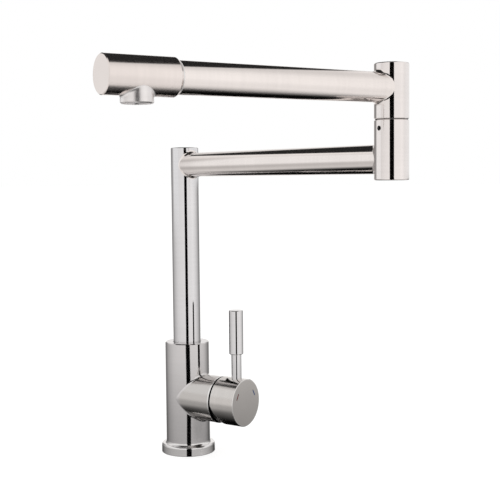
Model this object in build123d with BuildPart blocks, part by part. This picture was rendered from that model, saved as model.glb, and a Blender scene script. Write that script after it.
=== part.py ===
from build123d import *
import os
from math import cos, radians, sin, sqrt, tan

# Kitchen mixer tap with a swivelling riser and a folding two-part arm.
# The origin is the centre of the foot's underside, on the riser's axis. +Z is up,
# +X runs along the mixing valve towards its handle, and -Y is the front.

# Clearances and small edge breaks shared by the whole tap
running_gap = 0.05      # radial play of a turning fit
loose_gap = 0.35        # radial play where a gap shows
slide_gap = 0.1         # play of a sliding fit
edge_break = 0.5        # chamfer of a machined edge
match_tol = 0.01        # how closely an edge must match the size it is picked by
quarter_turn = 90       # degrees

# Body casting
body_d = 45.0
body_top_z = 114.0
body_top_chamfer = 0.8
foot_h = 9.5
foot_edge_r = 2.2
foot_cove_r = 2.4
foot_flat_w = 0.2       # flat ring between the foot's cove and its rounded edge
foot_heel_chamfer = 0.4  # thin bevel where the foot meets the worktop

# Foot underside: gasket, hose inlets and fixing stud
gasket_inset = 3.3
gasket_w = 3.0
gasket_t = 1.5
inlet_x = 5.0
inlet_y = 8.0
inlet_thread_d = 9.0
inlet_thread_l = 12.0
inlet_passage_d = 6.0
stud_x = -13.0
stud_thread_d = 6.8
stud_thread_l = 20.0
thread_mouth_chamfer = 0.6

# Riser
riser_d = 28.0
riser_wall = 1.5
riser_rise = 17.5       # from the lower arm's axis up to the riser's top
riser_cap_t = 2.0
riser_cap_plug_l = 3.5
riser_edge_r = 1.1

# Riser spigot and its seat in the body, counted down from the top of the body
collar_top_depth = 10.0
collar_l = 6.0
spigot_step = 2.0       # how much the spigot's radius is under the riser's
spigot_wall = 3.5
spigot_l = 13.5
spigot_plug_l = 12.0
spigot_end_gap = 1.5
thrust_washer_t = 1.5
bush_t = 2.0
bush_l = 5.5
bush_slit = 2.0
top_land_l = 4.0

# Seal rings and retaining grooves of both spigots
seal_section_d = 1.9
seal_groove_w = 2.4
seal_pitch = 4.2
retainer_groove_w = 2.8
retainer_groove_t = 1.4
retainer_screw_d = 5.0
retainer_tip_d = 2.4
retainer_tip_gap = 0.3
screw_recess = 0.6
hex_socket_share = 0.5  # width across the key's flats as a share of the screw
hex_sides = 6
hex_socket_l = 1.8

# Lower arm
lower_arm_d = 24.0
lower_arm_l = 291.0
lower_arm_z = 294.6
lower_arm_angle = -17.5
arm_wall = 1.5
arm_weld_r = 2.6        # fillet ground round the arms where they meet the uprights

# Elbow
elbow_d = 28.0
elbow_drop = 16.8       # from the lower arm's axis down to the elbow's bottom
elbow_seam_rise = 31.2  # from the lower arm's axis up to the seam
elbow_seam_w = 0.8
elbow_rise = 19.4       # from the upper arm's axis up to the elbow's top
elbow_cap_t = 2.5
elbow_cap_plug_l = 2.5
elbow_edge_r = 1.1
elbow_wall = 2.5
elbow_socket_wall = 3.5
elbow_socket_margin = 1.6
elbow_washer_inset = 0.9
elbow_washer_sink = 0.8
elbow_screw_d = 4.0
elbow_screw_depth = 7.0

# Upper arm and head
upper_arm_d = 24.0
arm_spacing = 56.1      # between the axes of the two arms
upper_arm_angle = 246.2
head_wall = 2.0
head_back_l = 30.8      # from the outlet's axis back to the start of the head
head_front_l = 26.3     # from the outlet's axis to the head's face
head_step_l = 3.1
outlet_clearance = 4.5
head_cap_t = 2.5
head_cap_plug_l = 3.0
head_cap_chamfer = 0.6

# Outlet nozzle and aerator
outlet_reach = 221.8
nozzle_d = 23.2
nozzle_drop = 19.0      # from the upper arm's axis down to the nozzle's mouth
nozzle_wall = 1.6
nozzle_chamfer = 0.8
nozzle_weld_r = 1.9
nozzle_thread_recess = 0.7
aerator_l = 8.0
aerator_wall = 1.8
aerator_lip = 0.9
aerator_seal_t = 1.8
sieve_recess = 1.6
sieve_t = 3.0
sieve_hole_d = 2.0
sieve_hole_pitch = 3.0
sieve_rings = 2
sieve_ring_step = 6     # each ring has this many more holes than the one inside it

# Mixing valve, measured along +X from the riser's axis
valve_z = 58.0
valve_mouth_inset = 0.2  # how far the barrel's mouth lies inside the handle's edge
valve_draft = 1.2       # growth of the barrel's radius from the column to the mouth
valve_mouth_chamfer = 0.7
valve_root_r = 2.5      # fillet between the barrel and the column
cartridge_seat_x = 14.0
cartridge_d = 35.0
cartridge_fit = 0.1
cartridge_wall = 1.6
cartridge_base_t = 4.0
cartridge_roof_t = 2.3
hub_wall = 2.95
hub_over_pivot = 4.3
nut_thread_step = 1.7   # how much the nut's radius is over the cartridge's
nut_thread_runout = 2.0
nut_t = 3.5
nut_notches = 6
nut_notch_w = 4.0
nut_notch_t = 1.6

# Ports of the cartridge, in its end face
port_z = 5.0
inlet_port_d = 5.6
outlet_port_z = -6.0
outlet_port_d = 7.0
outlet_riser_x = -7.0
outlet_riser_d = 9.0
port_seal_w = 1.5
port_seal_t = 1.5
fixed_disc_gap = 0.9
fixed_disc_t = 3.5
moving_disc_gap = 1.2
moving_disc_t = 3.5
mixing_pocket_w = 12.0
mixing_pocket_l = 18.0
mixing_pocket_t = 1.5
mixing_pocket_drop = 1.8

# Lever mechanism in the cartridge
tilt_range = 20.0
lever_arm_l = 15.7      # from the lever's pivot back to the centre of its ball
rotor_d = 22.0
rotor_flange_t = 4.3
rotor_flange_gap = 0.4
stem_side_gap = 0.2
carrier_t = 6.5
carrier_w = 17.0
carrier_rotor_gap = 0.3
carrier_peg_d = 3.0
carrier_peg_l = 1.2
carrier_peg_y = 6.0
stem_ball_d = 6.8
stem_socket_gap = 0.2
stem_socket_end_play = 0.4
stem_socket_floor_t = 0.7
stem_neck_d = 5.4
stem_w = 8.0
stem_square_l = 4.2     # square part behind the pivot
stem_reach = 20.8       # from the pivot to the stem's end
stem_pin_d = 4.0

# Dome ring under the handle
dome_inset = 1.9        # how far the dome's ball lies inside the handle's edge
dome_hub_gap = 2.5
dome_rim = 2.45
dome_gap = 0.4

# Handle
handle_d = 47.4
handle_seam_w = 1.2
handle_l = 27.8
handle_face_chamfer = 0.5
handle_relief_angle = 21.5
handle_boss_d = 19.0
handle_boss_l = 15.0
stem_socket_end_gap = 0.4
lever_inset = 11.0      # from the handle's face back to the lever's axis
lever_seat_depth = 0.7
lever_rod_d = 10.0
lever_rod_l = 25.0
lever_stud_d = 6.0
lever_stud_l = 5.6
lever_grip_d = 14.0
lever_grip_l = 44.0
lever_tenon_l = 8.0
lever_chamfer = 0.6
handle_screw_d = 5.0
handle_screw_l = 6.5
mark_rim_gap = 7.6
mark_angle = 60.0
mark_l = 7.0
mark_w = 1.4
mark_t = 0.3

# Diameters and radii worked out from the dimensions above
body_r = body_d / 2
foot_r = body_r + foot_cove_r + foot_flat_w + foot_edge_r
gasket_outer_r = foot_r - gasket_inset
gasket_inner_r = gasket_outer_r - gasket_w
riser_r = riser_d / 2
spigot_r = riser_r - spigot_step
elbow_r = elbow_d / 2
elbow_spigot_r = elbow_r - elbow_socket_wall
elbow_seal_bore_r = elbow_spigot_r + running_gap
head_r = upper_arm_d / 2 + head_wall
nozzle_thread_r = nozzle_d / 2 - nozzle_wall
valve_mouth_r = handle_d / 2 - valve_mouth_inset
cartridge_r = cartridge_d / 2
cartridge_bore_r = cartridge_r - cartridge_wall
nut_r = cartridge_r + nut_thread_step
hub_bore_r = rotor_d / 2 + running_gap
hub_r = hub_bore_r + hub_wall
rotor_flange_r = cartridge_bore_r - rotor_flange_gap
dome_r = handle_d / 2 - dome_inset
dome_bore_r = hub_r + dome_hub_gap
dome_front_r = dome_bore_r + dome_rim
dome_mouth_r = sqrt(dome_r**2 - handle_seam_w**2)
cavity_r = dome_r + dome_gap
mark_reach = handle_d / 2 - mark_rim_gap

# Heights of the body's bores, the elbow and the outlet
collar_top_z = body_top_z - collar_top_depth
collar_bottom_z = collar_top_z - collar_l
washer_seat_z = collar_bottom_z - thrust_washer_t
spigot_end_z = collar_bottom_z - spigot_l
seal_bore_end_z = spigot_end_z - spigot_end_gap
retainer_z = collar_bottom_z + collar_l / 2
riser_top_z = lower_arm_z + riser_rise
upper_arm_z = lower_arm_z + arm_spacing
elbow_bottom_z = lower_arm_z - elbow_drop
elbow_seam_z = lower_arm_z + elbow_seam_rise
elbow_top_z = upper_arm_z + elbow_rise
elbow_low_face_z = elbow_seam_z - elbow_seam_w / 2
elbow_high_face_z = elbow_seam_z + elbow_seam_w / 2
elbow_land_end_z = lower_arm_z + lower_arm_d / 2
elbow_spigot_end_z = elbow_land_end_z + running_gap
elbow_socket_end_z = upper_arm_z - upper_arm_d / 2 - elbow_socket_margin
elbow_screw_z = elbow_seam_z - elbow_screw_depth
nozzle_bottom_z = upper_arm_z - nozzle_drop
head_start = outlet_reach - head_back_l
head_face = outlet_reach + head_front_l

# Places along the valve's axis, from the cartridge's seat out to the handle
base_top_x = cartridge_seat_x + cartridge_base_t
fixed_disc_top_x = base_top_x + fixed_disc_t
moving_disc_top_x = fixed_disc_top_x + moving_disc_t
carrier_top_x = moving_disc_top_x + carrier_t
stem_socket_floor_x = moving_disc_top_x + stem_socket_floor_t
ball_x = stem_socket_floor_x + stem_socket_end_play + stem_ball_d / 2
pivot_x = ball_x + lever_arm_l
rotor_under_x = carrier_top_x + carrier_rotor_gap
rotor_flange_top_x = rotor_under_x + rotor_flange_t
roof_under_x = rotor_flange_top_x + slide_gap
cartridge_shoulder_x = roof_under_x + cartridge_roof_t
valve_thread_x = cartridge_shoulder_x - nut_thread_runout
nut_top_x = cartridge_shoulder_x + nut_t
hub_end_x = pivot_x + hub_over_pivot
rotor_end_x = hub_end_x - edge_break
stem_square_x = pivot_x - stem_square_l
stem_end_x = pivot_x + stem_reach
valve_mouth_x = pivot_x - handle_seam_w
dome_front_x = pivot_x + sqrt(dome_r**2 - dome_front_r**2)
handle_face_x = pivot_x + handle_l
handle_boss_x = handle_face_x - handle_boss_l
lever_x = handle_face_x - lever_inset
lever_seat_z = valve_z + handle_d / 2 - lever_seat_depth
lever_grip_z = lever_seat_z + lever_rod_l
lever_top_z = lever_grip_z + lever_grip_l

# Travel of the moving disc, and the rotor's slot that leaves room for it
disc_travel = lever_arm_l * sin(radians(tilt_range))
disc_drop = disc_travel / 2
moving_disc_r = cartridge_bore_r - moving_disc_gap - disc_drop
rotor_slot_w = stem_w + 2 * stem_side_gap
rotor_slot_l = 2 * (disc_travel + stem_ball_d / 2 + stem_side_gap)

# Directions, frames and axes
lower_dir = Vector(cos(radians(lower_arm_angle)), sin(radians(lower_arm_angle)), 0)
upper_dir = Vector(cos(radians(upper_arm_angle)), sin(radians(upper_arm_angle)), 0)
elbow_place = lower_dir * lower_arm_l
outlet_place = elbow_place + upper_dir * outlet_reach
elbow_screw_dir = Vector(lower_dir.Y, -lower_dir.X, 0)
riser_profile = Plane.XZ
elbow_profile = Plane(origin=elbow_place, x_dir=(1, 0, 0), z_dir=(0, -1, 0))
elbow_plane = Plane(origin=elbow_place)
elbow_axis = Axis(elbow_place, (0, 0, 1))
outlet_plane = Plane(origin=outlet_place)
lower_arm_plane = Plane(origin=(0, 0, lower_arm_z), z_dir=lower_dir)
upper_arm_plane = Plane(origin=elbow_place + Vector(0, 0, upper_arm_z), z_dir=upper_dir)
valve_plane = Plane(origin=(0, 0, valve_z), x_dir=(0, 1, 0), z_dir=(1, 0, 0))
valve_axis = Axis((0, 0, valve_z), (1, 0, 0))
pivot_plane = Plane(origin=(pivot_x, 0, valve_z), z_dir=(0, 1, 0))
lever_plane = Plane(origin=(lever_x, 0, 0))


def seal_zone(end_z):
    """Centre heights of a spigot's two seal rings, counted up from its free end."""
    first = end_z + edge_break + seal_groove_w
    return [first, first + seal_pitch]


def groove_section(profile, outer_r, depth, centre_z, width):
    """Section of a square groove, to be turned about the profile's upright axis."""
    with BuildSketch(profile) as section:
        with Locations((outer_r - depth / 2, centre_z)):
            Rectangle(depth, width)
    return section.sketch


def weld_seams(joined):
    """Edges where one tube enters the side of another: neither straight nor round."""
    return joined.edges().filter_by(
        lambda e: e.geom_type not in (GeomType.LINE, GeomType.CIRCLE, GeomType.ELLIPSE))


def grub_screw(plane, diameter, length, tip_d, tip_l):
    """A headless screw that points along the plane's normal, with its key socket at the start."""
    with BuildPart() as screw:
        with BuildSketch(plane):
            Circle(diameter / 2)
        extrude(amount=length)
        with BuildSketch(plane.offset(length)):
            Circle(tip_d / 2)
        extrude(amount=tip_l)
        with BuildSketch(plane):
            RegularPolygon(diameter * hex_socket_share / 2, hex_sides, major_radius=False)
        extrude(amount=hex_socket_l, mode=Mode.SUBTRACT)
    return screw


# Body: the foot, the upright column and the valve barrel are one casting
with BuildPart() as body_shell:
    with BuildSketch():
        Circle(foot_r)
    extrude(amount=foot_h)
    with BuildSketch(Plane.XY.offset(foot_h)):
        Circle(body_r)
    extrude(amount=body_top_z - foot_h)
    foot_rim = body_shell.edges().filter_by(GeomType.CIRCLE).filter_by(
        lambda e: abs(e.radius - foot_r) < match_tol and e.center().Z > foot_h / 2)
    fillet(foot_rim, foot_edge_r)
    foot_heel = body_shell.edges().filter_by(GeomType.CIRCLE).sort_by(Axis.Z)[0]
    chamfer(foot_heel, foot_heel_chamfer)
    foot_root = body_shell.edges().filter_by(GeomType.CIRCLE).filter_by(
        lambda e: abs(e.radius - body_r) < match_tol and e.center().Z < body_top_z / 2)
    fillet(foot_root, foot_cove_r)
    column_rim = body_shell.edges().filter_by(GeomType.CIRCLE).sort_by(Axis.Z)[-1]
    chamfer(column_rim, body_top_chamfer)

    # Valve barrel, drafted outwards from the column to its mouth
    with BuildSketch(riser_profile):
        with BuildLine():
            Polyline(
                (0, valve_z),
                (0, valve_z + valve_mouth_r - valve_draft),
                (valve_mouth_x - valve_mouth_chamfer, valve_z + valve_mouth_r),
                (valve_mouth_x, valve_z + valve_mouth_r - valve_mouth_chamfer),
                (valve_mouth_x, valve_z),
                close=True,
            )
        make_face()
    revolve(axis=valve_axis)
    fillet(weld_seams(body_shell), valve_root_r)

    # Cartridge bore and the thread of its nut
    with BuildSketch(valve_plane.offset(cartridge_seat_x)):
        Circle(cartridge_r + cartridge_fit)
    extrude(amount=valve_mouth_x - cartridge_seat_x, mode=Mode.SUBTRACT)
    with BuildSketch(valve_plane.offset(valve_thread_x)):
        Circle(nut_r)
    extrude(amount=valve_mouth_x - valve_thread_x, mode=Mode.SUBTRACT)

    # Stepped bore that takes the riser's bush, collar and spigot
    with BuildSketch(riser_profile):
        with BuildLine():
            Polyline(
                (0, seal_bore_end_z),
                (spigot_r + running_gap, seal_bore_end_z),
                (spigot_r + running_gap, washer_seat_z),
                (riser_r + loose_gap, washer_seat_z),
                (riser_r + loose_gap, body_top_z - top_land_l - bush_l),
                (riser_r + bush_t, body_top_z - top_land_l - bush_l),
                (riser_r + bush_t, body_top_z - top_land_l),
                (riser_r + loose_gap, body_top_z - top_land_l),
                (riser_r + loose_gap, body_top_z),
                (0, body_top_z),
                close=True,
            )
        make_face()
    revolve(axis=Axis.Z, mode=Mode.SUBTRACT)
    with BuildSketch(Plane(origin=(0, 0, retainer_z), z_dir=(0, 1, 0))):
        Circle(retainer_screw_d / 2)
    extrude(amount=body_d, mode=Mode.SUBTRACT)

    # Mixed water: from the cartridge back to a drilling that climbs to the riser
    with BuildSketch(valve_plane.offset(outlet_riser_x)):
        with Locations((0, outlet_port_z)):
            Circle(outlet_port_d / 2)
    extrude(amount=cartridge_seat_x - outlet_riser_x, mode=Mode.SUBTRACT)
    with BuildSketch(Plane.XY.offset(valve_z + outlet_port_z)):
        with Locations((outlet_riser_x, 0)):
            Circle(outlet_riser_d / 2)
    extrude(amount=seal_bore_end_z - valve_z - outlet_port_z, mode=Mode.SUBTRACT)

    # Hot and cold water: a thread in the foot and a passage up to the cartridge
    for side in (-1, 1):
        with BuildSketch():
            with Locations((inlet_x, side * inlet_y)):
                Circle(inlet_thread_d / 2)
        extrude(amount=inlet_thread_l, mode=Mode.SUBTRACT)
        with BuildSketch():
            with Locations((inlet_x, side * inlet_y)):
                Circle(inlet_passage_d / 2)
        extrude(amount=valve_z + port_z, mode=Mode.SUBTRACT)
        with BuildSketch(valve_plane.offset(inlet_x)):
            with Locations((side * inlet_y, port_z)):
                Circle(inlet_port_d / 2)
        extrude(amount=cartridge_seat_x - inlet_x, mode=Mode.SUBTRACT)
    with BuildSketch():
        with Locations((stud_x, 0)):
            Circle(stud_thread_d / 2)
    extrude(amount=stud_thread_l, mode=Mode.SUBTRACT)
    thread_mouths = body_shell.edges().filter_by(GeomType.CIRCLE).filter_by(
        lambda e: abs(e.center().Z) < match_tol and e.radius < inlet_thread_d)
    chamfer(thread_mouths, thread_mouth_chamfer)
    with BuildSketch():
        Circle(gasket_outer_r)
        Circle(gasket_inner_r, mode=Mode.SUBTRACT)
    extrude(amount=gasket_t, mode=Mode.SUBTRACT)

with BuildPart() as base_gasket:
    with BuildSketch():
        Circle(gasket_outer_r)
        Circle(gasket_inner_r, mode=Mode.SUBTRACT)
    extrude(amount=gasket_t)

# Split nylon bush that snaps into the groove near the body's mouth
with BuildPart() as riser_bush:
    with BuildSketch(Plane.XY.offset(body_top_z - top_land_l - bush_l)):
        Circle(riser_r + bush_t)
        Circle(riser_r + running_gap, mode=Mode.SUBTRACT)
        with Locations((-riser_r - bush_t / 2, 0)):
            Rectangle(2 * bush_t, bush_slit, mode=Mode.SUBTRACT)
    extrude(amount=bush_l)

with BuildPart() as riser_thrust_washer:
    with BuildSketch(Plane.XY.offset(washer_seat_z)):
        Circle(riser_r)
        Circle(spigot_r + loose_gap, mode=Mode.SUBTRACT)
    extrude(amount=thrust_washer_t)

retainer_start_y = body_r - screw_recess
retainer_tip_y = riser_r - retainer_groove_t + retainer_tip_gap
retainer_l = retainer_start_y - riser_r - loose_gap
riser_retaining_screw = grub_screw(
    Plane(origin=(0, retainer_start_y, retainer_z), z_dir=(0, -1, 0)),
    retainer_screw_d, retainer_l, retainer_tip_d, retainer_start_y - retainer_l - retainer_tip_y)

# Riser: the spigot turns in the body and carries the tube on its collar
with BuildPart() as riser_spigot:
    with BuildSketch(riser_profile):
        with BuildLine():
            Polyline(
                (spigot_r - spigot_wall, spigot_end_z),
                (spigot_r - edge_break, spigot_end_z),
                (spigot_r, spigot_end_z + edge_break),
                (spigot_r, collar_bottom_z),
                (riser_r, collar_bottom_z),
                (riser_r, collar_top_z),
                (riser_r - riser_wall, collar_top_z),
                (riser_r - riser_wall, collar_top_z + spigot_plug_l),
                (spigot_r - spigot_wall, collar_top_z + spigot_plug_l),
                close=True,
            )
        make_face()
    revolve(axis=Axis.Z)
    for z in seal_zone(spigot_end_z):
        seal_groove = groove_section(riser_profile, spigot_r, seal_section_d, z, seal_groove_w)
        revolve(seal_groove, axis=Axis.Z, mode=Mode.SUBTRACT)
    retainer_groove = groove_section(
        riser_profile, riser_r, retainer_groove_t, retainer_z, retainer_groove_w)
    revolve(retainer_groove, axis=Axis.Z, mode=Mode.SUBTRACT)

with BuildPart() as riser_seals:
    with BuildSketch(riser_profile):
        with Locations(*[(spigot_r - seal_section_d / 2, z) for z in seal_zone(spigot_end_z)]):
            Circle(seal_section_d / 2)
    revolve(axis=Axis.Z)

with BuildPart() as riser_tube:
    with BuildSketch(Plane.XY.offset(collar_top_z)):
        Circle(riser_r)
        Circle(riser_r - riser_wall, mode=Mode.SUBTRACT)
    extrude(amount=riser_top_z - riser_cap_t - collar_top_z)
    with BuildSketch(lower_arm_plane):
        Circle(lower_arm_d / 2 - arm_wall)
    extrude(amount=riser_d, mode=Mode.SUBTRACT)

with BuildPart() as riser_top_cap:
    with BuildSketch(Plane.XY.offset(riser_top_z - riser_cap_t)):
        Circle(riser_r)
    extrude(amount=riser_cap_t)
    fillet(riser_top_cap.edges().sort_by(Axis.Z)[-1], riser_edge_r)
    with BuildSketch(Plane.XY.offset(riser_top_z - riser_cap_t)):
        Circle(riser_r - riser_wall)
    extrude(amount=-riser_cap_plug_l)

# Lower arm: a tube coped to the riser at one end and to the elbow at the other. Its welds are
# ground to fillets, which are drawn with the uprights in place before these are cut away
with BuildSketch(Plane.XY.offset(lower_arm_z - lower_arm_d)) as lower_uprights:
    Circle(riser_r)
    with Locations(elbow_place):
        Circle(elbow_r)
with BuildPart() as lower_arm_tube:
    extrude(lower_uprights.sketch, amount=2 * lower_arm_d)
    with BuildSketch(lower_arm_plane):
        Circle(lower_arm_d / 2)
    extrude(amount=lower_arm_l)
    fillet(weld_seams(lower_arm_tube), arm_weld_r)
    extrude(lower_uprights.sketch, amount=2 * lower_arm_d, mode=Mode.SUBTRACT)
    with BuildSketch(lower_arm_plane):
        Circle(lower_arm_d / 2 - arm_wall)
    extrude(amount=lower_arm_l, mode=Mode.SUBTRACT)

# Elbow, lower half: a sleeve with a sealing land for the upper half's spigot
with BuildPart() as elbow_lower_sleeve:
    with BuildSketch(elbow_profile):
        with BuildLine():
            Polyline(
                (elbow_r - elbow_wall, elbow_bottom_z + elbow_cap_t),
                (elbow_r, elbow_bottom_z + elbow_cap_t),
                (elbow_r, elbow_low_face_z - edge_break),
                (elbow_r - edge_break, elbow_low_face_z),
                (elbow_r - elbow_washer_inset, elbow_low_face_z),
                (elbow_r - elbow_washer_inset, elbow_low_face_z - elbow_washer_sink),
                (elbow_seal_bore_r, elbow_low_face_z - elbow_washer_sink),
                (elbow_seal_bore_r, elbow_land_end_z),
                (elbow_r - elbow_wall, elbow_land_end_z),
                close=True,
            )
        make_face()
    revolve(axis=elbow_axis)
    with BuildSketch(lower_arm_plane.offset(lower_arm_l - elbow_d)):
        Circle(lower_arm_d / 2 - arm_wall)
    extrude(amount=elbow_d, mode=Mode.SUBTRACT)
    with BuildSketch(Plane(origin=elbow_place + Vector(0, 0, elbow_screw_z), z_dir=elbow_screw_dir)):
        Circle(elbow_screw_d / 2)
    extrude(amount=elbow_d, mode=Mode.SUBTRACT)


def elbow_end_cap(rim_z, inward):
    """Closing disc of the elbow with a plug that fits the sleeve's bore."""
    with BuildPart() as cap:
        with BuildSketch(elbow_plane.offset(rim_z)):
            Circle(elbow_r)
        extrude(amount=inward * elbow_cap_t)
        outer_edge = cap.edges().filter_by(GeomType.CIRCLE).sort_by(Axis.Z)[0 if inward > 0 else -1]
        fillet(outer_edge, elbow_edge_r)
        with BuildSketch(elbow_plane.offset(rim_z + inward * elbow_cap_t)):
            Circle(elbow_r - elbow_wall)
        extrude(amount=inward * elbow_cap_plug_l)
    return cap


elbow_bottom_cap = elbow_end_cap(elbow_bottom_z, 1)
elbow_top_cap = elbow_end_cap(elbow_top_z, -1)

elbow_screw_tip_r = elbow_spigot_r - retainer_groove_t + retainer_tip_gap
elbow_screw_start_r = elbow_r - screw_recess
elbow_screw_l = elbow_screw_start_r - elbow_seal_bore_r
elbow_grub_screw = grub_screw(
    Plane(origin=elbow_place + elbow_screw_dir * elbow_screw_start_r + Vector(0, 0, elbow_screw_z),
          z_dir=-elbow_screw_dir),
    elbow_screw_d, elbow_screw_l, retainer_tip_d, elbow_screw_start_r - elbow_screw_l - elbow_screw_tip_r)

with BuildPart() as elbow_glide_washer:
    with BuildSketch(elbow_plane.offset(elbow_low_face_z - elbow_washer_sink)):
        Circle(elbow_r - elbow_washer_inset)
        Circle(elbow_spigot_r + loose_gap, mode=Mode.SUBTRACT)
    extrude(amount=elbow_washer_sink + elbow_seam_w)

# Elbow, upper half: a sleeve screwed onto the hollow spigot that turns in the lower one
with BuildPart() as elbow_upper_sleeve:
    with BuildSketch(elbow_profile):
        with BuildLine():
            Polyline(
                (elbow_spigot_r, elbow_high_face_z),
                (elbow_r - edge_break, elbow_high_face_z),
                (elbow_r, elbow_high_face_z + edge_break),
                (elbow_r, elbow_top_z - elbow_cap_t),
                (elbow_r - elbow_wall, elbow_top_z - elbow_cap_t),
                (elbow_r - elbow_wall, elbow_socket_end_z),
                (elbow_spigot_r, elbow_socket_end_z),
                close=True,
            )
        make_face()
    revolve(axis=elbow_axis)
    with BuildSketch(upper_arm_plane):
        Circle(upper_arm_d / 2 - arm_wall)
    extrude(amount=elbow_d, mode=Mode.SUBTRACT)

with BuildPart() as elbow_spigot:
    with BuildSketch(elbow_plane.offset(elbow_spigot_end_z)):
        Circle(elbow_spigot_r)
        Circle(elbow_spigot_r - spigot_wall, mode=Mode.SUBTRACT)
    extrude(amount=elbow_socket_end_z - elbow_spigot_end_z)
    for z in seal_zone(elbow_spigot_end_z):
        seal_groove = groove_section(elbow_profile, elbow_spigot_r, seal_section_d, z, seal_groove_w)
        revolve(seal_groove, axis=elbow_axis, mode=Mode.SUBTRACT)
    retainer_groove = groove_section(
        elbow_profile, elbow_spigot_r, retainer_groove_t, elbow_screw_z, retainer_groove_w)
    revolve(retainer_groove, axis=elbow_axis, mode=Mode.SUBTRACT)

with BuildPart() as elbow_seals:
    with BuildSketch(elbow_profile):
        with Locations(*[(elbow_spigot_r - seal_section_d / 2, z) for z in seal_zone(elbow_spigot_end_z)]):
            Circle(seal_section_d / 2)
    revolve(axis=elbow_axis)

# Upper arm and head
upper_arm_end = outlet_reach - nozzle_thread_r - outlet_clearance
with BuildSketch(elbow_plane.offset(upper_arm_z - upper_arm_d)) as upper_upright:
    Circle(elbow_r)
with BuildPart() as upper_arm_tube:
    extrude(upper_upright.sketch, amount=2 * upper_arm_d)
    with BuildSketch(upper_arm_plane):
        Circle(upper_arm_d / 2)
    extrude(amount=upper_arm_end)
    fillet(weld_seams(upper_arm_tube), arm_weld_r)
    extrude(upper_upright.sketch, amount=2 * upper_arm_d, mode=Mode.SUBTRACT)
    with BuildSketch(upper_arm_plane):
        Circle(upper_arm_d / 2 - arm_wall)
    extrude(amount=upper_arm_end, mode=Mode.SUBTRACT)

with BuildPart() as head_sleeve:
    with BuildSketch(upper_arm_plane.offset(head_start)):
        Circle(head_r)
    extrude(amount=head_face - head_cap_t - head_start)
    inner_rim = head_sleeve.edges().filter_by(GeomType.CIRCLE).sort_by(
        Axis(upper_arm_plane.origin, upper_dir))[0]
    chamfer(inner_rim, head_step_l, head_r - upper_arm_d / 2 - slide_gap,
            reference=head_sleeve.faces().filter_by(GeomType.CYLINDER)[0])
    with BuildSketch(upper_arm_plane.offset(head_start)):
        Circle(upper_arm_d / 2)
    extrude(amount=head_face - head_cap_t - head_start, mode=Mode.SUBTRACT)
    with BuildSketch(outlet_plane.offset(nozzle_bottom_z)):
        Circle(nozzle_thread_r)
    extrude(amount=upper_arm_z - nozzle_bottom_z, mode=Mode.SUBTRACT)

with BuildPart() as head_end_cap:
    with BuildSketch(upper_arm_plane.offset(head_face - head_cap_t)):
        Circle(head_r)
    extrude(amount=head_cap_t)
    chamfer(head_end_cap.edges().sort_by(Axis(upper_arm_plane.origin, upper_dir))[-1],
            head_cap_chamfer)
    with BuildSketch(upper_arm_plane.offset(head_face - head_cap_t)):
        Circle(upper_arm_d / 2)
    extrude(amount=-head_cap_plug_l)

# Outlet: a short nozzle saddled onto the head's underside, with the aerator screwed in
with BuildSketch(upper_arm_plane.offset(outlet_reach - nozzle_d)) as head_round:
    Circle(head_r)
with BuildPart() as outlet_nozzle:
    with BuildSketch(outlet_plane.offset(nozzle_bottom_z)):
        Circle(nozzle_d / 2)
    extrude(amount=upper_arm_z - nozzle_bottom_z)
    chamfer(outlet_nozzle.edges().sort_by(Axis.Z)[0], nozzle_chamfer)
    extrude(head_round.sketch, amount=2 * nozzle_d)
    fillet(weld_seams(outlet_nozzle), nozzle_weld_r)
    extrude(head_round.sketch, amount=2 * nozzle_d, mode=Mode.SUBTRACT)
    with BuildSketch(outlet_plane.offset(nozzle_bottom_z)):
        Circle(nozzle_thread_r)
    extrude(amount=upper_arm_z - nozzle_bottom_z, mode=Mode.SUBTRACT)

aerator_z = nozzle_bottom_z + nozzle_thread_recess
with BuildPart() as aerator_housing:
    with BuildSketch(outlet_plane.offset(aerator_z)):
        Circle(nozzle_thread_r)
        Circle(nozzle_thread_r - aerator_wall - aerator_lip, mode=Mode.SUBTRACT)
    extrude(amount=aerator_l)
    with BuildSketch(outlet_plane.offset(aerator_z + sieve_recess)):
        Circle(nozzle_thread_r - aerator_wall)
    extrude(amount=aerator_l - sieve_recess, mode=Mode.SUBTRACT)

with BuildPart() as aerator_sieve:
    with BuildSketch(outlet_plane.offset(aerator_z + sieve_recess)):
        Circle(nozzle_thread_r - aerator_wall)
        Circle(sieve_hole_d / 2, mode=Mode.SUBTRACT)
        for ring in range(1, sieve_rings + 1):
            with PolarLocations(ring * sieve_hole_pitch, sieve_ring_step * ring):
                Circle(sieve_hole_d / 2, mode=Mode.SUBTRACT)
    extrude(amount=sieve_t)

with BuildPart() as aerator_seal:
    with BuildSketch(outlet_plane.offset(aerator_z + aerator_l)):
        Circle(nozzle_thread_r)
        Circle(nozzle_thread_r - aerator_wall, mode=Mode.SUBTRACT)
    extrude(amount=aerator_seal_t)

# Cartridge: fixed shell, base and disc
port_places = [(-inlet_y, port_z), (inlet_y, port_z), (0, outlet_port_z)]
port_radii = [inlet_port_d / 2, inlet_port_d / 2, outlet_port_d / 2]


def port_circles(plane, margin=0.0):
    """The three water ports, drawn on a plane across the valve's axis."""
    with BuildSketch(plane) as ports:
        for place, radius in zip(port_places, port_radii):
            with Locations(place):
                Circle(radius + margin)
    return ports.sketch


with BuildPart() as cartridge_base:
    with BuildSketch(valve_plane.offset(cartridge_seat_x)):
        Circle(cartridge_r)
    extrude(amount=cartridge_base_t)
    seat_plane = valve_plane.offset(cartridge_seat_x)
    extrude(port_circles(seat_plane), amount=cartridge_base_t, mode=Mode.SUBTRACT)
    extrude(port_circles(seat_plane, port_seal_w), amount=port_seal_t, mode=Mode.SUBTRACT)

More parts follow.
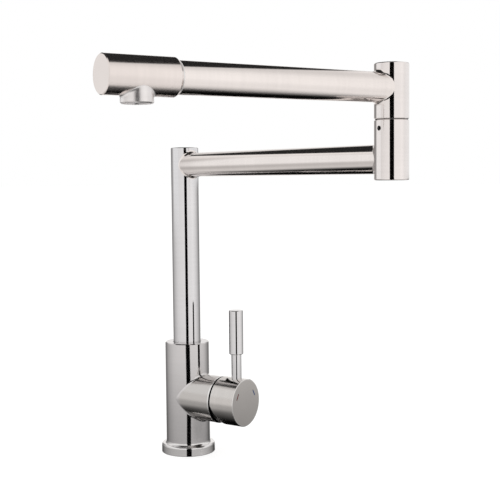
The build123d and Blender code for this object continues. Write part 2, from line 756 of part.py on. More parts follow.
with BuildPart() as port_seals:
    with BuildSketch(valve_plane.offset(cartridge_seat_x)):
        for place, radius in zip(port_places, port_radii):
            with Locations(place):
                Circle(radius + port_seal_w)
                Circle(radius, mode=Mode.SUBTRACT)
    extrude(amount=port_seal_t)

with BuildPart() as cartridge_housing:
    with BuildSketch(riser_profile):
        with BuildLine():
            Polyline(
                (base_top_x, valve_z + cartridge_bore_r),
                (base_top_x, valve_z + cartridge_r),
                (cartridge_shoulder_x, valve_z + cartridge_r),
                (cartridge_shoulder_x, valve_z + hub_r),
                (hub_end_x - edge_break, valve_z + hub_r),
                (hub_end_x, valve_z + hub_r - edge_break),
                (hub_end_x, valve_z + hub_bore_r),
                (roof_under_x, valve_z + hub_bore_r),
                (roof_under_x, valve_z + cartridge_bore_r),
                close=True,
            )
        make_face()
    revolve(axis=valve_axis)

with BuildPart() as fixed_disc:
    with BuildSketch(valve_plane.offset(base_top_x)):
        Circle(cartridge_bore_r - fixed_disc_gap)
    extrude(amount=fixed_disc_t)
    extrude(port_circles(valve_plane.offset(base_top_x)), amount=fixed_disc_t, mode=Mode.SUBTRACT)

with BuildPart() as cartridge_nut:
    with BuildSketch(valve_plane.offset(cartridge_shoulder_x)):
        Circle(nut_r)
        Circle(hub_r + loose_gap, mode=Mode.SUBTRACT)
    extrude(amount=nut_t)
    with BuildSketch(valve_plane.offset(nut_top_x)):
        with PolarLocations(hub_r + loose_gap, nut_notches):
            Rectangle(nut_notch_w, nut_notch_w)
    extrude(amount=-nut_notch_t, mode=Mode.SUBTRACT)

# Dome ring, a slice of a ball centred on the handle's pivot
with BuildPart() as dome_ring:
    with BuildSketch(riser_profile):
        with BuildLine():
            Polyline(
                (dome_front_x, valve_z + dome_front_r),
                (dome_front_x, valve_z + dome_bore_r),
                (nut_top_x, valve_z + dome_bore_r),
                (nut_top_x, valve_z + nut_r),
                (valve_mouth_x, valve_z + nut_r),
                (valve_mouth_x, valve_z + dome_mouth_r),
            )
            ThreePointArc(
                (valve_mouth_x, valve_z + dome_mouth_r),
                (pivot_x, valve_z + dome_r),
                (dome_front_x, valve_z + dome_front_r),
            )
        make_face()
    revolve(axis=valve_axis)

# Rotor: turns in the hub for temperature, and holds the lever's pin
rail_w = carrier_w / 2 + slide_gap
with BuildPart() as cartridge_rotor:
    with BuildSketch(valve_plane.offset(rotor_under_x)):
        Circle(rotor_flange_r)
    extrude(amount=rotor_flange_top_x - rotor_under_x)
    with BuildSketch(valve_plane.offset(rotor_flange_top_x)):
        Circle(rotor_d / 2)
    extrude(amount=rotor_end_x - rotor_flange_top_x)
    with BuildSketch(valve_plane.offset(rotor_under_x)):
        Circle(rotor_flange_r)
        Rectangle(2 * rail_w, cartridge_d, mode=Mode.SUBTRACT)
    extrude(amount=-(rotor_under_x - moving_disc_top_x - carrier_rotor_gap))
    with BuildSketch(valve_plane.offset(rotor_under_x)):
        Rectangle(rotor_slot_w, rotor_slot_l)
    extrude(amount=rotor_end_x - rotor_under_x, mode=Mode.SUBTRACT)
    with BuildSketch(pivot_plane):
        Circle(stem_pin_d / 2)
    extrude(amount=rotor_d, both=True, mode=Mode.SUBTRACT)

with BuildPart() as stem_pin:
    with BuildSketch(pivot_plane):
        Circle(stem_pin_d / 2)
    extrude(amount=rotor_d / 2 - edge_break, both=True)

# Carrier and moving disc: the stem's ball pushes them across the fixed disc
with BuildPart() as disc_carrier:
    with BuildSketch(valve_plane.offset(moving_disc_top_x)):
        with Locations((0, -disc_drop)):
            Circle(moving_disc_r)
        Rectangle(carrier_w, cartridge_d, mode=Mode.INTERSECT)
    extrude(amount=carrier_t)
    with BuildSketch(valve_plane.offset(carrier_top_x)):
        Circle(stem_ball_d / 2 + stem_socket_gap)
    extrude(amount=stem_socket_floor_x - carrier_top_x, mode=Mode.SUBTRACT)
    with BuildSketch(valve_plane.offset(moving_disc_top_x)):
        with Locations((-carrier_peg_y, -disc_drop), (carrier_peg_y, -disc_drop)):
            Circle(carrier_peg_d / 2)
    extrude(amount=-carrier_peg_l)

with BuildPart() as moving_disc:
    with BuildSketch(valve_plane.offset(fixed_disc_top_x)):
        with Locations((0, -disc_drop)):
            Circle(moving_disc_r)
    extrude(amount=moving_disc_t)
    with BuildSketch(valve_plane.offset(moving_disc_top_x)):
        with Locations((-carrier_peg_y, -disc_drop), (carrier_peg_y, -disc_drop)):
            Circle(carrier_peg_d / 2)
    extrude(amount=-carrier_peg_l, mode=Mode.SUBTRACT)
    with BuildSketch(valve_plane.offset(fixed_disc_top_x)):
        with Locations((0, -disc_drop - mixing_pocket_drop)):
            SlotOverall(mixing_pocket_l, mixing_pocket_w)
    extrude(amount=mixing_pocket_t, mode=Mode.SUBTRACT)

# Stem: a square bar for the handle, a neck and a ball that works the carrier
with BuildPart() as cartridge_stem:
    with BuildSketch(valve_plane.offset(stem_square_x)):
        Rectangle(stem_w, stem_w)
    extrude(amount=stem_end_x - stem_square_x)
    with BuildSketch(valve_plane.offset(ball_x)):
        Circle(stem_neck_d / 2)
    extrude(amount=stem_square_x - ball_x)
    with Locations((ball_x, 0, valve_z)):
        Sphere(stem_ball_d / 2)
    with BuildSketch(pivot_plane):
        Circle(stem_pin_d / 2 + running_gap)
    extrude(amount=stem_w, both=True, mode=Mode.SUBTRACT)

# Handle: a hollow cap over the dome, cut back below so that it can tip forwards
handle_r = handle_d / 2
handle_boss_r = handle_boss_d / 2
boss_root_x = pivot_x + sqrt(cavity_r**2 - handle_boss_r**2)
cavity_mid_angle = radians(quarter_turn / 2)
cavity_mid = (pivot_x + cavity_r * cos(cavity_mid_angle), valve_z + cavity_r * sin(cavity_mid_angle))
relief_h = handle_r + edge_break
with BuildPart() as handle_cap:
    with BuildSketch(riser_profile):
        with BuildLine():
            Polyline(
                (pivot_x, valve_z + cavity_r),
                (pivot_x, valve_z + handle_r - edge_break),
                (pivot_x + edge_break, valve_z + handle_r),
                (handle_face_x - handle_face_chamfer, valve_z + handle_r),
                (handle_face_x, valve_z + handle_r - handle_face_chamfer),
                (handle_face_x, valve_z),
                (handle_boss_x, valve_z),
                (handle_boss_x, valve_z + handle_boss_r),
                (boss_root_x, valve_z + handle_boss_r),
            )
            ThreePointArc((boss_root_x, valve_z + handle_boss_r), cavity_mid, (pivot_x, valve_z + cavity_r))
        make_face()
    revolve(axis=valve_axis)
    with BuildSketch(riser_profile):
        with BuildLine():
            Polyline(
                (pivot_x, valve_z),
                (pivot_x - edge_break, valve_z),
                (pivot_x - edge_break, valve_z - relief_h),
                (pivot_x + relief_h * tan(radians(handle_relief_angle)), valve_z - relief_h),
                close=True,
            )
        make_face()
    extrude(amount=relief_h, both=True, mode=Mode.SUBTRACT)
    with BuildSketch(valve_plane.offset(handle_boss_x)):
        Rectangle(stem_w, stem_w)
    extrude(amount=stem_end_x + stem_socket_end_gap - handle_boss_x, mode=Mode.SUBTRACT)
    with BuildSketch(lever_plane.offset(lever_seat_z)):
        Circle(lever_rod_d / 2)
    extrude(amount=handle_d, mode=Mode.SUBTRACT)
    with BuildSketch(lever_plane.offset(lever_seat_z)):
        Circle(lever_stud_d / 2)
    extrude(amount=-lever_stud_l, mode=Mode.SUBTRACT)
    with BuildSketch(lever_plane.offset(valve_z - handle_d / 2)):
        Circle(handle_screw_d / 2)
    extrude(amount=handle_d / 2, mode=Mode.SUBTRACT)


def mark_location(side):
    """Place of a temperature mark on the handle's face, turned to lie along the rim."""
    turn = quarter_turn - side * mark_angle
    return Location((mark_reach * cos(radians(turn)), mark_reach * sin(radians(turn)), 0), (0, 0, turn))


with BuildPart(mode=Mode.PRIVATE) as mark_pockets:
    with BuildSketch(valve_plane.offset(handle_face_x)):
        with Locations(mark_location(-1), mark_location(1)):
            SlotOverall(mark_l, mark_w, rotation=quarter_turn)
    extrude(amount=-mark_t)
with handle_cap:
    add(mark_pockets.part, mode=Mode.SUBTRACT)

with BuildPart() as hot_mark:
    add(mark_pockets.part.solids().sort_by(Axis.Y)[0])
with BuildPart() as cold_mark:
    add(mark_pockets.part.solids().sort_by(Axis.Y)[-1])

handle_screw = grub_screw(
    lever_plane.offset(valve_z - stem_w / 2 - handle_screw_l),
    handle_screw_d, handle_screw_l - edge_break, handle_screw_d / 2, edge_break)

with BuildPart() as lever_rod:
    with BuildSketch(lever_plane.offset(lever_seat_z)):
        Circle(lever_rod_d / 2)
    extrude(amount=lever_grip_z - lever_seat_z)
    with BuildSketch(lever_plane.offset(lever_seat_z - lever_stud_l)):
        Circle(lever_stud_d / 2)
    extrude(amount=lever_grip_z - lever_seat_z + lever_stud_l + lever_tenon_l)

with BuildPart() as lever_grip:
    with BuildSketch(lever_plane.offset(lever_grip_z)):
        Circle(lever_grip_d / 2)
    extrude(amount=lever_top_z - lever_grip_z)
    chamfer(lever_grip.edges().filter_by(GeomType.CIRCLE), lever_chamfer)
    with BuildSketch(lever_plane.offset(lever_grip_z)):
        Circle(lever_stud_d / 2)
    extrude(amount=lever_tenon_l, mode=Mode.SUBTRACT)

# Write one file for each piece
pieces = {
    "body_shell": body_shell,
    "base_gasket": base_gasket,
    "riser_bush": riser_bush,
    "riser_thrust_washer": riser_thrust_washer,
    "riser_retaining_screw": riser_retaining_screw,
    "cartridge_housing": cartridge_housing,
    "cartridge_base": cartridge_base,
    "port_seals": port_seals,
    "fixed_disc": fixed_disc,
    "cartridge_nut": cartridge_nut,
    "dome_ring": dome_ring,
    "riser_spigot": riser_spigot,
    "riser_seals": riser_seals,
    "riser_tube": riser_tube,
    "riser_top_cap": riser_top_cap,
    "lower_arm_tube": lower_arm_tube,
    "elbow_lower_sleeve": elbow_lower_sleeve,
    "elbow_bottom_cap": elbow_bottom_cap,
    "elbow_grub_screw": elbow_grub_screw,
    "elbow_glide_washer": elbow_glide_washer,
    "elbow_upper_sleeve": elbow_upper_sleeve,
    "elbow_top_cap": elbow_top_cap,
    "elbow_spigot": elbow_spigot,
    "elbow_seals": elbow_seals,
    "upper_arm_tube": upper_arm_tube,
    "head_sleeve": head_sleeve,
    "head_end_cap": head_end_cap,
    "outlet_nozzle": outlet_nozzle,
    "aerator_housing": aerator_housing,
    "aerator_sieve": aerator_sieve,
    "aerator_seal": aerator_seal,
    "cartridge_rotor": cartridge_rotor,
    "stem_pin": stem_pin,
    "disc_carrier": disc_carrier,
    "moving_disc": moving_disc,
    "cartridge_stem": cartridge_stem,
    "handle_cap": handle_cap,
    "hot_mark": hot_mark,
    "cold_mark": cold_mark,
    "handle_screw": handle_screw,
    "lever_rod": lever_rod,
    "lever_grip": lever_grip,
}
os.makedirs("parts", exist_ok=True)
for label, piece in pieces.items():
    piece.part.label = label
    export_step(piece.part, f"parts/{label}.step")
    print(f"{label}: {len(piece.part.solids())} solid(s), {piece.part.volume:.1f} mm3")
print(f"moving disc travels {disc_travel:.3f} mm over {tilt_range} degrees of tilt")
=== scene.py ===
# %% [markdown]
# # A folding kitchen mixer tap
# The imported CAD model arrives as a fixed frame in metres. Every piece of the real tap is already
# there at its true size, so this script never moves or resizes one. It builds the studio, gives
# each piece the finish of its real material, and adds the fine detail that the solids leave out.

import math

import bmesh
import bpy
from mathutils import Matrix, Vector


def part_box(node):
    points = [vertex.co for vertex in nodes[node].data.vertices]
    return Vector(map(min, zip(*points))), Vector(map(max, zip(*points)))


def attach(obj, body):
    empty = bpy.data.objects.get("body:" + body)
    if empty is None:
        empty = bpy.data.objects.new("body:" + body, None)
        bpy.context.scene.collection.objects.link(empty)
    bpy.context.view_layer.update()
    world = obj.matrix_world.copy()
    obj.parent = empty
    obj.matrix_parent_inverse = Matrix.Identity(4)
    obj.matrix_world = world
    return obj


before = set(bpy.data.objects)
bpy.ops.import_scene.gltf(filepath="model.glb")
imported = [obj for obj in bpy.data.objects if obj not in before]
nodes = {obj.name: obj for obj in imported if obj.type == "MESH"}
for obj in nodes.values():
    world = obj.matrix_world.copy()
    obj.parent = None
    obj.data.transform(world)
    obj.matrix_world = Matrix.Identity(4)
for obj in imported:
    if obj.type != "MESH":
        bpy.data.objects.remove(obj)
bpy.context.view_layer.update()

# %% [markdown]
# The camera comes first, because every finish is judged through it. A long lens from a little
# above the middle of the tap, turned slightly downwards, gives the quiet perspective of a
# catalogue picture. A Track To constraint could aim it, but would leave no say over its roll, so
# its axes are worked out from three angles, and each one can be read.

# %% Camera
camera_place = Vector((0.6511, -0.8280, 0.2804))
camera_heading = math.radians(34.61)
camera_pitch = math.radians(3.98)
camera_roll = math.radians(0.54)
camera_lens = 74.16

up = Vector((0, 0, 1))
rightward = Vector((math.cos(camera_heading), math.sin(camera_heading), 0))
inward = Vector((-math.sin(camera_heading), math.cos(camera_heading), 0))
toward_camera = -inward
look = inward * math.cos(camera_pitch) - up * math.sin(camera_pitch)
lens_up = inward * math.sin(camera_pitch) + up * math.cos(camera_pitch)
frame_x = rightward * math.cos(camera_roll) - lens_up * math.sin(camera_roll)
frame_y = rightward * math.sin(camera_roll) + lens_up * math.cos(camera_roll)

camera = bpy.data.objects.new("camera", bpy.data.cameras.new("camera"))
bpy.context.scene.collection.objects.link(camera)
camera.data.lens = camera_lens
axes = Matrix((frame_x, frame_y, -look)).transposed()
camera.matrix_world = Matrix.Translation(camera_place) @ axes.to_4x4()
bpy.context.scene.camera = camera
bpy.context.scene.view_settings.view_transform = "Standard"
print(f"camera {camera_place.length:.2f} m from the foot, on a lens of {camera_lens} mm")

# %% [markdown]
# Shader maths reads better as formulas than as a web of nodes. `Wire` wraps one output socket and
# turns each operator into a Math node, which `Tree.math` makes. `Tree.node` makes every other kind
# of node: its settings first, and then the values or links of its sockets.

# %% Formulas for node trees


class Wire:
    """An output socket that can be added, subtracted, multiplied and divided."""

    def __init__(self, tree, socket):
        self.tree = tree
        self.socket = socket

    def __add__(self, other):
        return self.tree.math("ADD", self, other)

    __radd__ = __add__

    def __sub__(self, other):
        return self.tree.math("SUBTRACT", self, other)

    def __rsub__(self, other):
        return self.tree.math("SUBTRACT", other, self)

    def __mul__(self, other):
        return self.tree.math("MULTIPLY", self, other)

    __rmul__ = __mul__

    def __truediv__(self, other):
        return self.tree.math("DIVIDE", self, other)

    def __abs__(self):
        return self.tree.math("ABSOLUTE", self)

    def __neg__(self):
        return self.tree.math("MULTIPLY", self, -1.0)

    def angle_from(self, other):
        return self.tree.math("ARCTAN2", self, other)

    def rise(self, low, high):
        """0 below low, 1 above high, and a smooth slope in between."""
        ends = {"From Min": low, "From Max": high, "Value": self}
        return self.tree.node("ShaderNodeMapRange", {"interpolation_type": "SMOOTHSTEP"}, ends)

    def above_zero(self, softness):
        """0 below zero and 1 above it, with a slope that reaches `softness` to either side."""
        return self.rise(-softness, softness)


class Tree:
    """A node tree that is filled by calls, one call for each node."""

    def __init__(self, owner):
        owner.use_nodes = True
        self.tree = owner.node_tree
        self.tree.nodes.clear()

    def node(self, kind, settings=None, sockets=None, output=0):
        """Make a node and give the wire of one of its outputs. A list links several wires to a socket."""
        made = self.tree.nodes.new(kind)
        for name, value in (settings or {}).items():
            if name == "stops":
                self.fill_ramp(made.color_ramp, value)
            else:
                setattr(made, name, value)
        for key, value in (sockets or {}).items():
            for item in value if isinstance(value, list) else [value]:
                if isinstance(item, Wire):
                    self.tree.links.new(item.socket, made.inputs[key])
                else:
                    made.inputs[key].default_value = item
        return Wire(self, made.outputs[output]) if len(made.outputs) else made

    def fill_ramp(self, ramp, stops):
        while len(ramp.elements) < len(stops):
            ramp.elements.new(1.0)
        for element, (place, level) in zip(ramp.elements, stops):
            element.position = place
            element.color = (level, level, level, 1.0)

    def math(self, operation, first, second=0.0):
        return self.node("ShaderNodeMath", {"operation": operation}, {0: first, 1: second})

    def vector(self, operation, first, second=(0, 0, 0), output="Vector"):
        sockets = {0: first, 1: tuple(second)}
        return self.node("ShaderNodeVectorMath", {"operation": operation}, sockets, output)

    def measure(self, operation, first, second=(0, 0, 0)):
        """The number that a vector operation gives, such as a length or a distance."""
        return self.vector(operation, first, second, "Value")

    def dot(self, vector, direction):
        return self.measure("DOT_PRODUCT", vector, direction)

    def blend(self, share, first, second):
        """A mix of two colours. A Mix node has its colour sockets at the places 6, 7 and 2."""
        sockets = {0: share, 6: first, 7: second}
        return self.node("ShaderNodeMix", {"data_type": "RGBA"}, sockets, 2)


print("Wire and Tree are ready")

# %% [markdown]
# Polished metal shows the room more than itself, so the room is drawn with care. Lamps could light
# the tap as well, but each would show in the steel as a patch with a hard edge. The tap stands in a
# white tent instead. Its walls are brightest in front and fall off towards the back corners, which
# draws the soft grey edges of the upright tubes, and a white backdrop fills the middle of the back.
# The lists below give the tent's brightness at each turn, in degrees round from the camera, and at
# each height, from straight down at -1 to straight up at 1. The walls fade into an even roof above
# wall_top. Heights and widths here are shares of a ray's direction, so they aren't in metres.

# %% How bright the tent is
wall_levels = [
    (-180, 0.55), (-155, 0.28), (-146, 0.21), (-131, 0.33), (-120, 0.47), (-111, 0.56), (-92, 0.69),
    (-74, 0.80), (-52, 0.86), (0, 0.92), (46, 0.94), (62, 0.99), (74, 0.94), (92, 0.82),
    (111, 0.64), (120, 0.53), (131, 0.35), (146, 0.22), (155, 0.28), (180, 0.55),
]
height_levels = [
    (-1.0, 0.90), (-0.50, 0.92), (-0.20, 0.97), (-0.05, 1.00), (0.30, 1.00), (0.55, 0.94),
    (0.70, 0.84), (0.80, 0.74), (0.88, 0.66), (1.0, 0.62),
]
wall_top = 0.30
roof_edge = 0.62
backdrop_level = 0.95
backdrop_half_width = 0.42
backdrop_half_height = 0.46
backdrop_softness = 0.14
print(f"tent with {len(wall_levels)} levels round the walls and {len(height_levels)} from floor to roof")

# %% [markdown]
# The tent could be a mesh with a picture on it, but the world's own shader needs neither and shows
# no seam. It works out the brightness from the direction in which a ray leaves. A ray straight from
# the camera finds plain white, so the picture's background is clean while the steel sees the tent.

# %% The light tent
full_turn = 2 * math.pi
backdrop_begins = 0.2
backdrop_full = 0.5
tent_white = (1.0, 0.985, 0.975, 1)
white = (1, 1, 1, 1)
black = (0, 0, 0, 1)

world = bpy.data.worlds.new("light_tent")
bpy.context.scene.world = world
sky = Tree(world)
direction = sky.node("ShaderNodeTexCoord", output="Generated")
side = sky.dot(direction, rightward)
front = sky.dot(direction, toward_camera)
height = sky.dot(direction, up)
turn = side.angle_from(front) / full_turn + 0.5
wall_stops = [((degrees + 180) / 360, level) for degrees, level in wall_levels]
wall = sky.node("ShaderNodeValToRGB", {"stops": wall_stops}, {0: turn})
height_stops = [((z + 1) / 2, level) for z, level in height_levels]
height_light = sky.node("ShaderNodeValToRGB", {"stops": height_stops}, {0: height * 0.5 + 0.5})
overhead = abs(height).rise(wall_top, roof_edge)
backdrop = (
    (-front).rise(backdrop_begins, backdrop_full)
    * (backdrop_half_width - abs(side)).rise(0.0, backdrop_softness)
    * (backdrop_half_height - abs(height)).rise(0.0, backdrop_softness)
)
tent_level = (overhead + (1 - overhead) * wall) * height_light
tent_level = tent_level * (1 - backdrop) + backdrop_level * backdrop
tent_colour = sky.blend(tent_level, black, tent_white)
seen_by_camera = sky.node("ShaderNodeLightPath", output="Is Camera Ray")
colour = sky.blend(seen_by_camera, tent_colour, white)
background = sky.node("ShaderNodeBackground", {}, {"Color": colour, "Strength": 1.0})
sky.node("ShaderNodeOutputWorld", {}, {"Surface": background})
print(f"the tent's shader has {len(world.node_tree.nodes)} nodes")

# %% [markdown]
# Photographers shape metal with cards that only its reflections see. A plain sheet of black or
# white would do that too, but its edge in the steel would always be hard. Each card here is a sheet
# whose material fades out towards its edges, so one card can be crisp and the next one soft.

# %% Cards that fade out


def new_material(name):
    material = bpy.data.materials.new(name)
    return material, Tree(material)


def studio_point(right, near, height):
    """A place given by its distance to the right, towards the camera and up, in metres."""
    return rightward * right + toward_camera * near + up * height


def flat_sheet(name, corners, material):
    mesh = bpy.data.meshes.new(name)
    mesh.from_pydata([tuple(corner) for corner in corners], [], [(0, 1, 2, 3)])
    mesh.materials.append(material)
    sheet = bpy.data.objects.new(name, mesh)
    bpy.context.scene.collection.objects.link(sheet)
    return sheet


def reflected_only(name, corners, level, opacity):
    """A sheet seen by reflections only; `opacity` makes its share from the tree and the place."""
    material, tree = new_material(name)
    place = tree.node("ShaderNodeTexCoord", output="Object")
    clear = tree.node("ShaderNodeBsdfTransparent")
    glow = tree.node("ShaderNodeEmission", {}, {"Color": (level, level, level, 1), "Strength": 1.0})
    shares = {0: opacity(tree, place), 1: clear, 2: glow}
    mix = tree.node("ShaderNodeMixShader", {}, shares)
    tree.node("ShaderNodeOutputMaterial", {}, {"Surface": mix})
    sheet = flat_sheet(name, corners, material)
    for ray in ("camera", "diffuse", "transmission", "volume_scatter", "shadow"):
        setattr(sheet, f"visible_{ray}", False)
    return sheet


def card(name, first, second, origin, spans, fades, level, strength=1.0):
    """A card that spans from low to high in two directions, with a fade at each of its four edges."""
    (first_low, first_high), (second_low, second_high) = spans
    corners = [
        origin + first * first_low + second * second_low,
        origin + first * first_high + second * second_low,
        origin + first * first_high + second * second_high,
        origin + first * first_low + second * second_high,
    ]

    def opacity(tree, place):
        shown = strength
        for way, (low, high), (low_fade, high_fade) in zip((first, second), spans, fades):
            along = tree.dot(place, way) - origin.dot(way)
            shown = shown * (along - low).rise(0.0, low_fade) * (high - along).rise(0.0, high_fade)
        return shown

    return reflected_only(name, corners, level, opacity)


print("ready to place cards")

# %% [markdown]
# A black card beside the lens, which does not see it, draws the crisp dark line down each upright
# tube. Black ones overhead and far below draw the dark bands along the level tubes, and one more
# below deepens the band under the head. A thin veil on the right of the foot darkens only low
# reflections there. Two white cards lift the head's face and the elbow's far side. A narrow black
# flag close beside the lever draws the dark line along it. Every card is placed by its distance to
# the right, towards the camera and up, so it can be moved like a real one.

# %% Cards round the tap
flag_turn = math.radians(67.05)
flag_way = rightward * math.cos(flag_turn) - toward_camera * math.sin(flag_turn)

cards = [
    card("lens_card", rightward, up, studio_point(0, 0.98, 0),
         spans=((-0.09, 0.30), (-0.8, 1.6)), fades=((0.01, 0.01), (0.01, 0.01)), level=0.0),
    card("roof_card", rightward, toward_camera, studio_point(0, 0, 0.85),
         spans=((-0.53, 0.355), (-0.80, 0.54)), fades=((0.07, 0.05), (0.16, 0.15)), level=0.018),
    card("deep_card", rightward, toward_camera, studio_point(0, 0, -0.30),
         spans=((-0.80, 0.90), (-1.20, 0.56)), fades=((0.42, 0.50), (0.15, 0.72)), level=0.004),
    card("head_shade", rightward, toward_camera, studio_point(0, 0, -0.29),
         spans=((-0.10, 0.46), (-0.40, 0.70)), fades=((0.15, 0.20), (0.10, 0.44)), level=0.004,
         strength=0.80),
    card("side_veil", rightward, toward_camera, studio_point(0, 0, -0.001),
         spans=((0.02, 0.80), (-0.04, 0.26)), fades=((0.08, 0.60), (0.12, 0.20)), level=0.0,
         strength=0.30),
    card("left_card", toward_camera, up, studio_point(-0.40, 0, 0),
         spans=((-0.16, 0.35), (0.16, 0.62)), fades=((0.08, 0.04), (0.12, 0.06)), level=0.90),
    card("right_card", toward_camera, up, studio_point(0.50, 0, 0),
         spans=((-0.70, 0.36), (0.265, 0.56)), fades=((0.10, 0.20), (0.02, 0.05)), level=0.90),
    card("lever_flag", flag_way, up, studio_point(0.0400, 0.0303, 0),
         spans=((-0.0046, 0.0046), (0.083, 0.152)), fades=((0.0005, 0.0005), (0.002, 0.002)), level=0.0),
]
print(f"{len(cards)} cards round the tap")

# %% [markdown]
# The tap's own soft shadow lies on the table round its foot, and the metal near the foot shows that
# in its reflections. A darker floor would do it, but the picture's floor has to stay white. So a thin
# black veil, densest at the foot, lies where only reflections find it: it is painted shadow.

# %% The tap's shadow on the table, painted for the reflections
veil_half = 3.0
veil_height = -0.002
veil_middle = studio_point(0.03, 0.05, 0)
veil_reaches = [
    (0.0, 0.42), (0.10, 0.40), (0.25, 0.30), (0.40, 0.16), (0.60, 0.04), (1.2, 0.02), (3.0, 0.0),
]


def veil_opacity(tree, place):
    distance = tree.measure("DISTANCE", place, veil_middle)
    stops = [(reach / veil_half, share) for reach, share in veil_reaches]
    return tree.node("ShaderNodeValToRGB", {"stops": stops}, {0: distance / veil_half})


square = ((-1, -1), (1, -1), (1, 1), (-1, 1))
veil_corners = [studio_point(a * veil_half, b * veil_half, veil_height) for a, b in square]
reflected_only("table_shadow_veil", veil_corners, 0.0, veil_opacity)
print(f"a veil {2 * veil_half:.0f} m wide, {veil_reaches[0][1]:.0%} dark at the foot")

# %% [markdown]
# The floor is a pale sheet that keeps the tap's soft shadow. More light would turn it white, but
# would bleach the tap as well. Instead it glows a little for the camera alone, so that it meets the
# white background without a line, while the tap above it reflects the tent.

# %% Floor
floor_half = 30.0
floor_grey = (0.48, 0.48, 0.48, 1)
floor_glow = 0.74

floor_material, floor_tree = new_material("pale_floor")
paper = floor_tree.node("ShaderNodeBsdfDiffuse", {}, {"Color": floor_grey})
glow = floor_tree.node("ShaderNodeEmission", {}, {"Color": white, "Strength": floor_glow})
nothing = floor_tree.node("ShaderNodeEmission", {}, {"Color": black, "Strength": 0.0})
floor_seen = floor_tree.node("ShaderNodeLightPath", output="Is Camera Ray")
lifted = floor_tree.node("ShaderNodeMixShader", {}, {0: floor_seen, 1: nothing, 2: glow})
floor_shader = floor_tree.node("ShaderNodeAddShader", {}, {0: paper, 1: lifted})
floor_tree.node("ShaderNodeOutputMaterial", {}, {"Surface": floor_shader})
floor_corners = [(a * floor_half, b * floor_half, 0) for a, b in square]
floor = flat_sheet("floor", floor_corners, floor_material)
floor.visible_glossy = False
print(f"floor {2 * floor_half:.0f} m square")

# %% [markdown]
# Every part of the tap that shows is stainless steel, ground with fine belts. The grinding lines
# run round the tubes, so they change only along a tube's length. A picture of brushed steel could be
# wrapped round each tube, but it would blur from close up and show a seam. Noise that is stretched
# square to the tube's length has neither fault. One function makes the finish: it takes the
# direction that the lines cross, and adds a fine bump, an uneven roughness and a slight change of
# tone, all read from the piece's own coordinates. An accent is a place where the same piece is
# ground or shaded otherwise, given as a mask, a tone and a roughness.

# %% Brushed steel
line_scale = 2400.0
streak_scale = 360.0
cloud_scale = 34.0
line_stretch = 0.02
noise_middle = 0.5
middle_tone = 0.97
mottle_share = 0.6
roughness_share = 0.4
line_share = 0.6
streak_share = 0.4
bump_height = 0.00001
grain_round_tube = {"Anisotropic": 0.8, "Anisotropic Rotation": 0.25}


def noise(tree, place, scale, detail, roughness):
    sockets = {"Vector": place, "Scale": scale, "Detail": detail, "Roughness": roughness}
    return tree.node("ShaderNodeTexNoise", {}, sockets)


def stretched_place(tree, place, across):
    """The place, pressed together square to `across`, so that noise read from it runs in lines."""
    other = across.orthogonal().normalized()
    third = across.cross(other)
    return tree.node("ShaderNodeCombineXYZ", {}, {
        "X": tree.dot(place, across),
        "Y": tree.dot(place, other) * line_stretch,
        "Z": tree.dot(place, third) * line_stretch})


def brushed_steel(name, tone, across, roughness, line_depth=0.03, mottle=0.08, upright=False, accents=()):
    """Steel with fine lines at right angles to `across`, which is the tube's own direction."""
    material, tree = new_material(name)
    place = tree.node("ShaderNodeTexCoord", output="Object")
    stretched = stretched_place(tree, place, across)
    lines = noise(tree, stretched, line_scale, detail=2.0, roughness=0.6)
    streaks = noise(tree, stretched, streak_scale, detail=3.0, roughness=0.55)
    clouds = noise(tree, place, cloud_scale, detail=2.0, roughness=0.5)
    unevenness = (streaks - noise_middle) * mottle_share + (clouds - noise_middle) * mottle_share
    dark = tuple(value * (middle_tone - mottle) for value in tone)
    light = tuple(min(1.0, value * (middle_tone + mottle)) for value in tone)
    colour = tree.blend(unevenness + noise_middle, (*dark, 1), (*light, 1))
    rough = roughness + unevenness * roughness * roughness_share
    for mask, accent_tone, accent_roughness in accents:
        share = mask(tree, place)
        colour = tree.blend(share, colour, (*accent_tone, 1))
        rough = rough * (1 - share) + share * accent_roughness
    relief = lines * line_share + streaks * streak_share
    bump = tree.node("ShaderNodeBump", {}, {
        "Strength": line_depth, "Distance": bump_height, "Height": relief})
    settings = {"Base Color": colour, "Metallic": 1.0, "Roughness": rough, "Normal": bump}
    if upright:
        settings.update(grain_round_tube)
    steel = tree.node("ShaderNodeBsdfPrincipled", {}, settings)
    tree.node("ShaderNodeOutputMaterial", {}, {"Surface": steel})
    return material


print(f"grinding lines about {1000 / line_scale:.1f} mm apart")

# %% [markdown]
# Foot, column and valve barrel are one casting, but they are ground one after another, and it shows:
# the foot is turned brighter, and the barrel is a little darker and warmer. The casting could be cut
# into three materials, but a mask keeps it one piece with a soft change at the weld. Each mask below
# measures where a place is on the casting, in metres, and gives a share from 0 to 1.

# %% Accents of the casting
sharp = 0.00005
column_edge = 0.0232
weld_softness = 0.0004
barrel_underside = 0.030
underside_softness = 0.002
foot_top = 0.0125
foot_softness = 0.001


def barrel_side(tree, place):
    """The valve barrel, which stands out from the column."""
    from_column_axis = tree.measure("LENGTH", tree.vector("MULTIPLY", place, (1, 1, 0)))
    outside_column = (from_column_axis - column_edge).above_zero(weld_softness)
    return outside_column * (tree.dot(place, up) - barrel_underside).above_zero(underside_softness)


def foot_side(tree, place):
    """The turned foot."""
    return (foot_top - tree.dot(place, up)).above_zero(foot_softness)


print(f"the foot's bright band is {foot_top * 1000} mm high")
